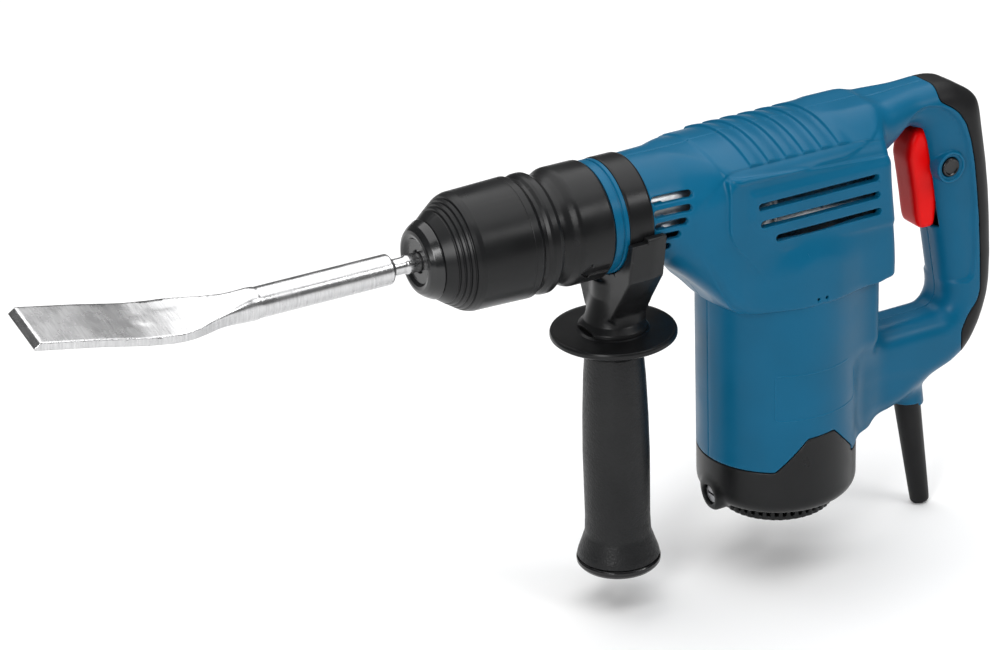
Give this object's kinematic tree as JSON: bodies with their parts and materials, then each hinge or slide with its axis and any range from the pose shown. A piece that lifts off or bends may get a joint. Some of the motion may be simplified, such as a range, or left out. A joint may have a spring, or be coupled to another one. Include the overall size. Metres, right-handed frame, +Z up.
{
  "type": "electric chipping hammer",
  "caption": "Hand-held electric chipping hammer with upright motor, D-shaped rear handle, side grip and cranked spatula chisel.",
  "frame": {"origin": "centre of the flat round base under the motor", "axes": "+Z up along the motor axis, +X from the chisel towards the rear handle, -Y the operator's left side"},
  "size_m": [0.5621, 0.0888, 0.2569],
  "materials": {
    "blue_housing": "fine matte moulded polyamide, deep petrol blue",
    "black_plastic": "satin black glass-filled plastic",
    "black_gloss": "smooth black plastic",
    "black_rubber": "soft matte black rubber",
    "gloss_rubber": "smooth shiny black rubber",
    "grip_rubber": "pebble-grained black rubber",
    "red_plastic": "satin red plastic",
    "cast_aluminium": "machined die-cast aluminium",
    "bright_steel": "ground bright steel",
    "dark_steel": "hardened steel with a film of grease",
    "zinc_steel": "zinc-plated steel",
    "chisel_steel": "ground and polished tool steel",
    "laminated_steel": "stacked electrical steel",
    "copper_winding": "varnished copper wire",
    "copper_bar": "turned copper bars",
    "brass_part": "pressed brass",
    "carbon": "pressed carbon"
  },
  "bodies": {
    "housing": {"housing_left_shell": "blue_housing", "housing_right_shell": "blue_housing", "rear_grip_strip": "black_rubber", "housing_screws": "zinc_steel", "collar_ring": "blue_housing", "motor_end_cap": "black_plastic", "end_cap_screw": "zinc_steel", "base_air_grille": "black_plastic", "cord_sleeve": "black_rubber", "cord_clamp": "black_plastic", "switch_body": "black_plastic", "trigger_pin": "zinc_steel", "gear_case": "cast_aluminium", "gear_case_cover": "cast_aluminium", "hammer_tube": "bright_steel", "upper_motor_bearing": "bright_steel", "lower_motor_bearing": "bright_steel", "crank_bearing": "bright_steel", "stator_core": "laminated_steel", "field_windings": "copper_winding", "brush_holders": "brass_part", "carbon_brushes": "carbon", "brush_plate": "black_plastic"},
    "rotor": {"rotor_shaft": "dark_steel", "armature_core": "laminated_steel", "armature_windings": "copper_winding", "commutator": "copper_bar", "cooling_fan": "black_plastic"},
    "crank": {"crank_gear": "dark_steel", "crankshaft": "dark_steel"},
    "connecting_rod": {"connecting_rod": "cast_aluminium"},
    "piston": {"piston": "cast_aluminium", "piston_seal": "black_rubber", "wrist_pins": "bright_steel"},
    "striker": {"striker": "dark_steel", "striker_seal": "black_rubber"},
    "impact_bolt": {"impact_bolt": "dark_steel"},
    "tool_holder": {"tool_holder": "dark_steel", "locking_balls": "bright_steel", "sleeve_spring": "dark_steel", "dust_cap": "gloss_rubber"},
    "locking_sleeve": {"locking_sleeve": "black_plastic", "locking_ring": "dark_steel"},
    "turning_ring": {"chisel_turning_ring": "black_plastic"},
    "chisel": {"chisel": "chisel_steel"},
    "trigger": {"trigger": "red_plastic"},
    "lock_button": {"lock_button": "black_gloss"},
    "handle_bracket": {"clamp_band": "black_plastic", "aux_bracket": "black_plastic", "clamp_bolt": "zinc_steel"},
    "side_grip": {"grip_core": "black_plastic", "grip_nut": "zinc_steel", "grip_sleeve": "grip_rubber", "grip_end_cap": "black_plastic"}
  },
  "joints": [
    {"name": "tool_holder_turn", "type": "hinge", "parent": "housing", "child": "tool_holder", "pos_m": [-0.15, 0, 0.1932], "axis": [1, 0, 0], "continuous": true},
    {"name": "locking_sleeve_slide", "type": "slide", "parent": "tool_holder", "child": "locking_sleeve", "axis": [1, 0, 0], "range_m": [0, 0.0035], "stiffness_N_per_m": 1500, "springref_m": -0.004},
    {"name": "turning_ring_slide", "type": "slide", "parent": "tool_holder", "child": "turning_ring", "axis": [-1, 0, 0], "range_m": [0, 0.0023], "stiffness_N_per_m": 1500, "springref_m": -0.004},
    {"name": "chisel_play", "type": "slide", "parent": "tool_holder", "child": "chisel", "axis": [-1, 0, 0], "range_m": [0, 0.01]},
    {"name": "impact_bolt_slide", "type": "slide", "parent": "tool_holder", "child": "impact_bolt", "axis": [-1, 0, 0], "range_m": [0, 0.004]},
    {"name": "striker_slide", "type": "slide", "parent": "housing", "child": "striker", "axis": [-1, 0, 0], "range_m": [0, 0.008]},
    {"name": "piston_slide", "type": "slide", "parent": "housing", "child": "piston", "axis": [1, 0, 0], "range_m": [0, 0.012]},
    {"name": "rotor_spin", "type": "hinge", "parent": "housing", "child": "rotor", "pos_m": [0, 0, 0.1], "axis": [0, 0, 1], "continuous": true},
    {"name": "crank_spin", "type": "hinge", "parent": "housing", "child": "crank", "pos_m": [-0.0325, 0, 0.17], "axis": [0, 0, 1], "continuous": true},
    {"name": "connecting_rod_turn", "type": "hinge", "parent": "crank", "child": "connecting_rod", "pos_m": [-0.0385, 0, 0.1932], "axis": [0, 0, 1], "continuous": true},
    {"name": "trigger_pull", "type": "hinge", "parent": "housing", "child": "trigger", "pos_m": [0.094, 0, 0.196], "axis": [0, -1, 0], "range_deg": [0, 8], "stiffness_Nm_per_rad": 1.5, "springref_deg": -8.59},
    {"name": "lock_button_press", "type": "slide", "parent": "housing", "child": "lock_button", "axis": [0, 1, 0], "range_m": [0, 0.0025], "stiffness_N_per_m": 400, "springref_m": -0.003},
    {"name": "handle_bracket_swivel", "type": "hinge", "parent": "housing", "child": "handle_bracket", "pos_m": [-0.101, 0, 0.1932], "axis": [1, 0, 0], "range_deg": [-180, 180]},
    {"name": "side_grip_turn", "type": "hinge", "parent": "handle_bracket", "child": "side_grip", "pos_m": [-0.1018, 0, 0.06], "axis": [0, 0, 1], "range_deg": [-360, 0]}
  ],
  "couplings": [
    {"joint": "crank_spin", "follows": "rotor_spin", "ratio": -0.2093},
    {"joint": "connecting_rod_turn", "follows": "rotor_spin", "ratio": 0.2093}
  ]
}
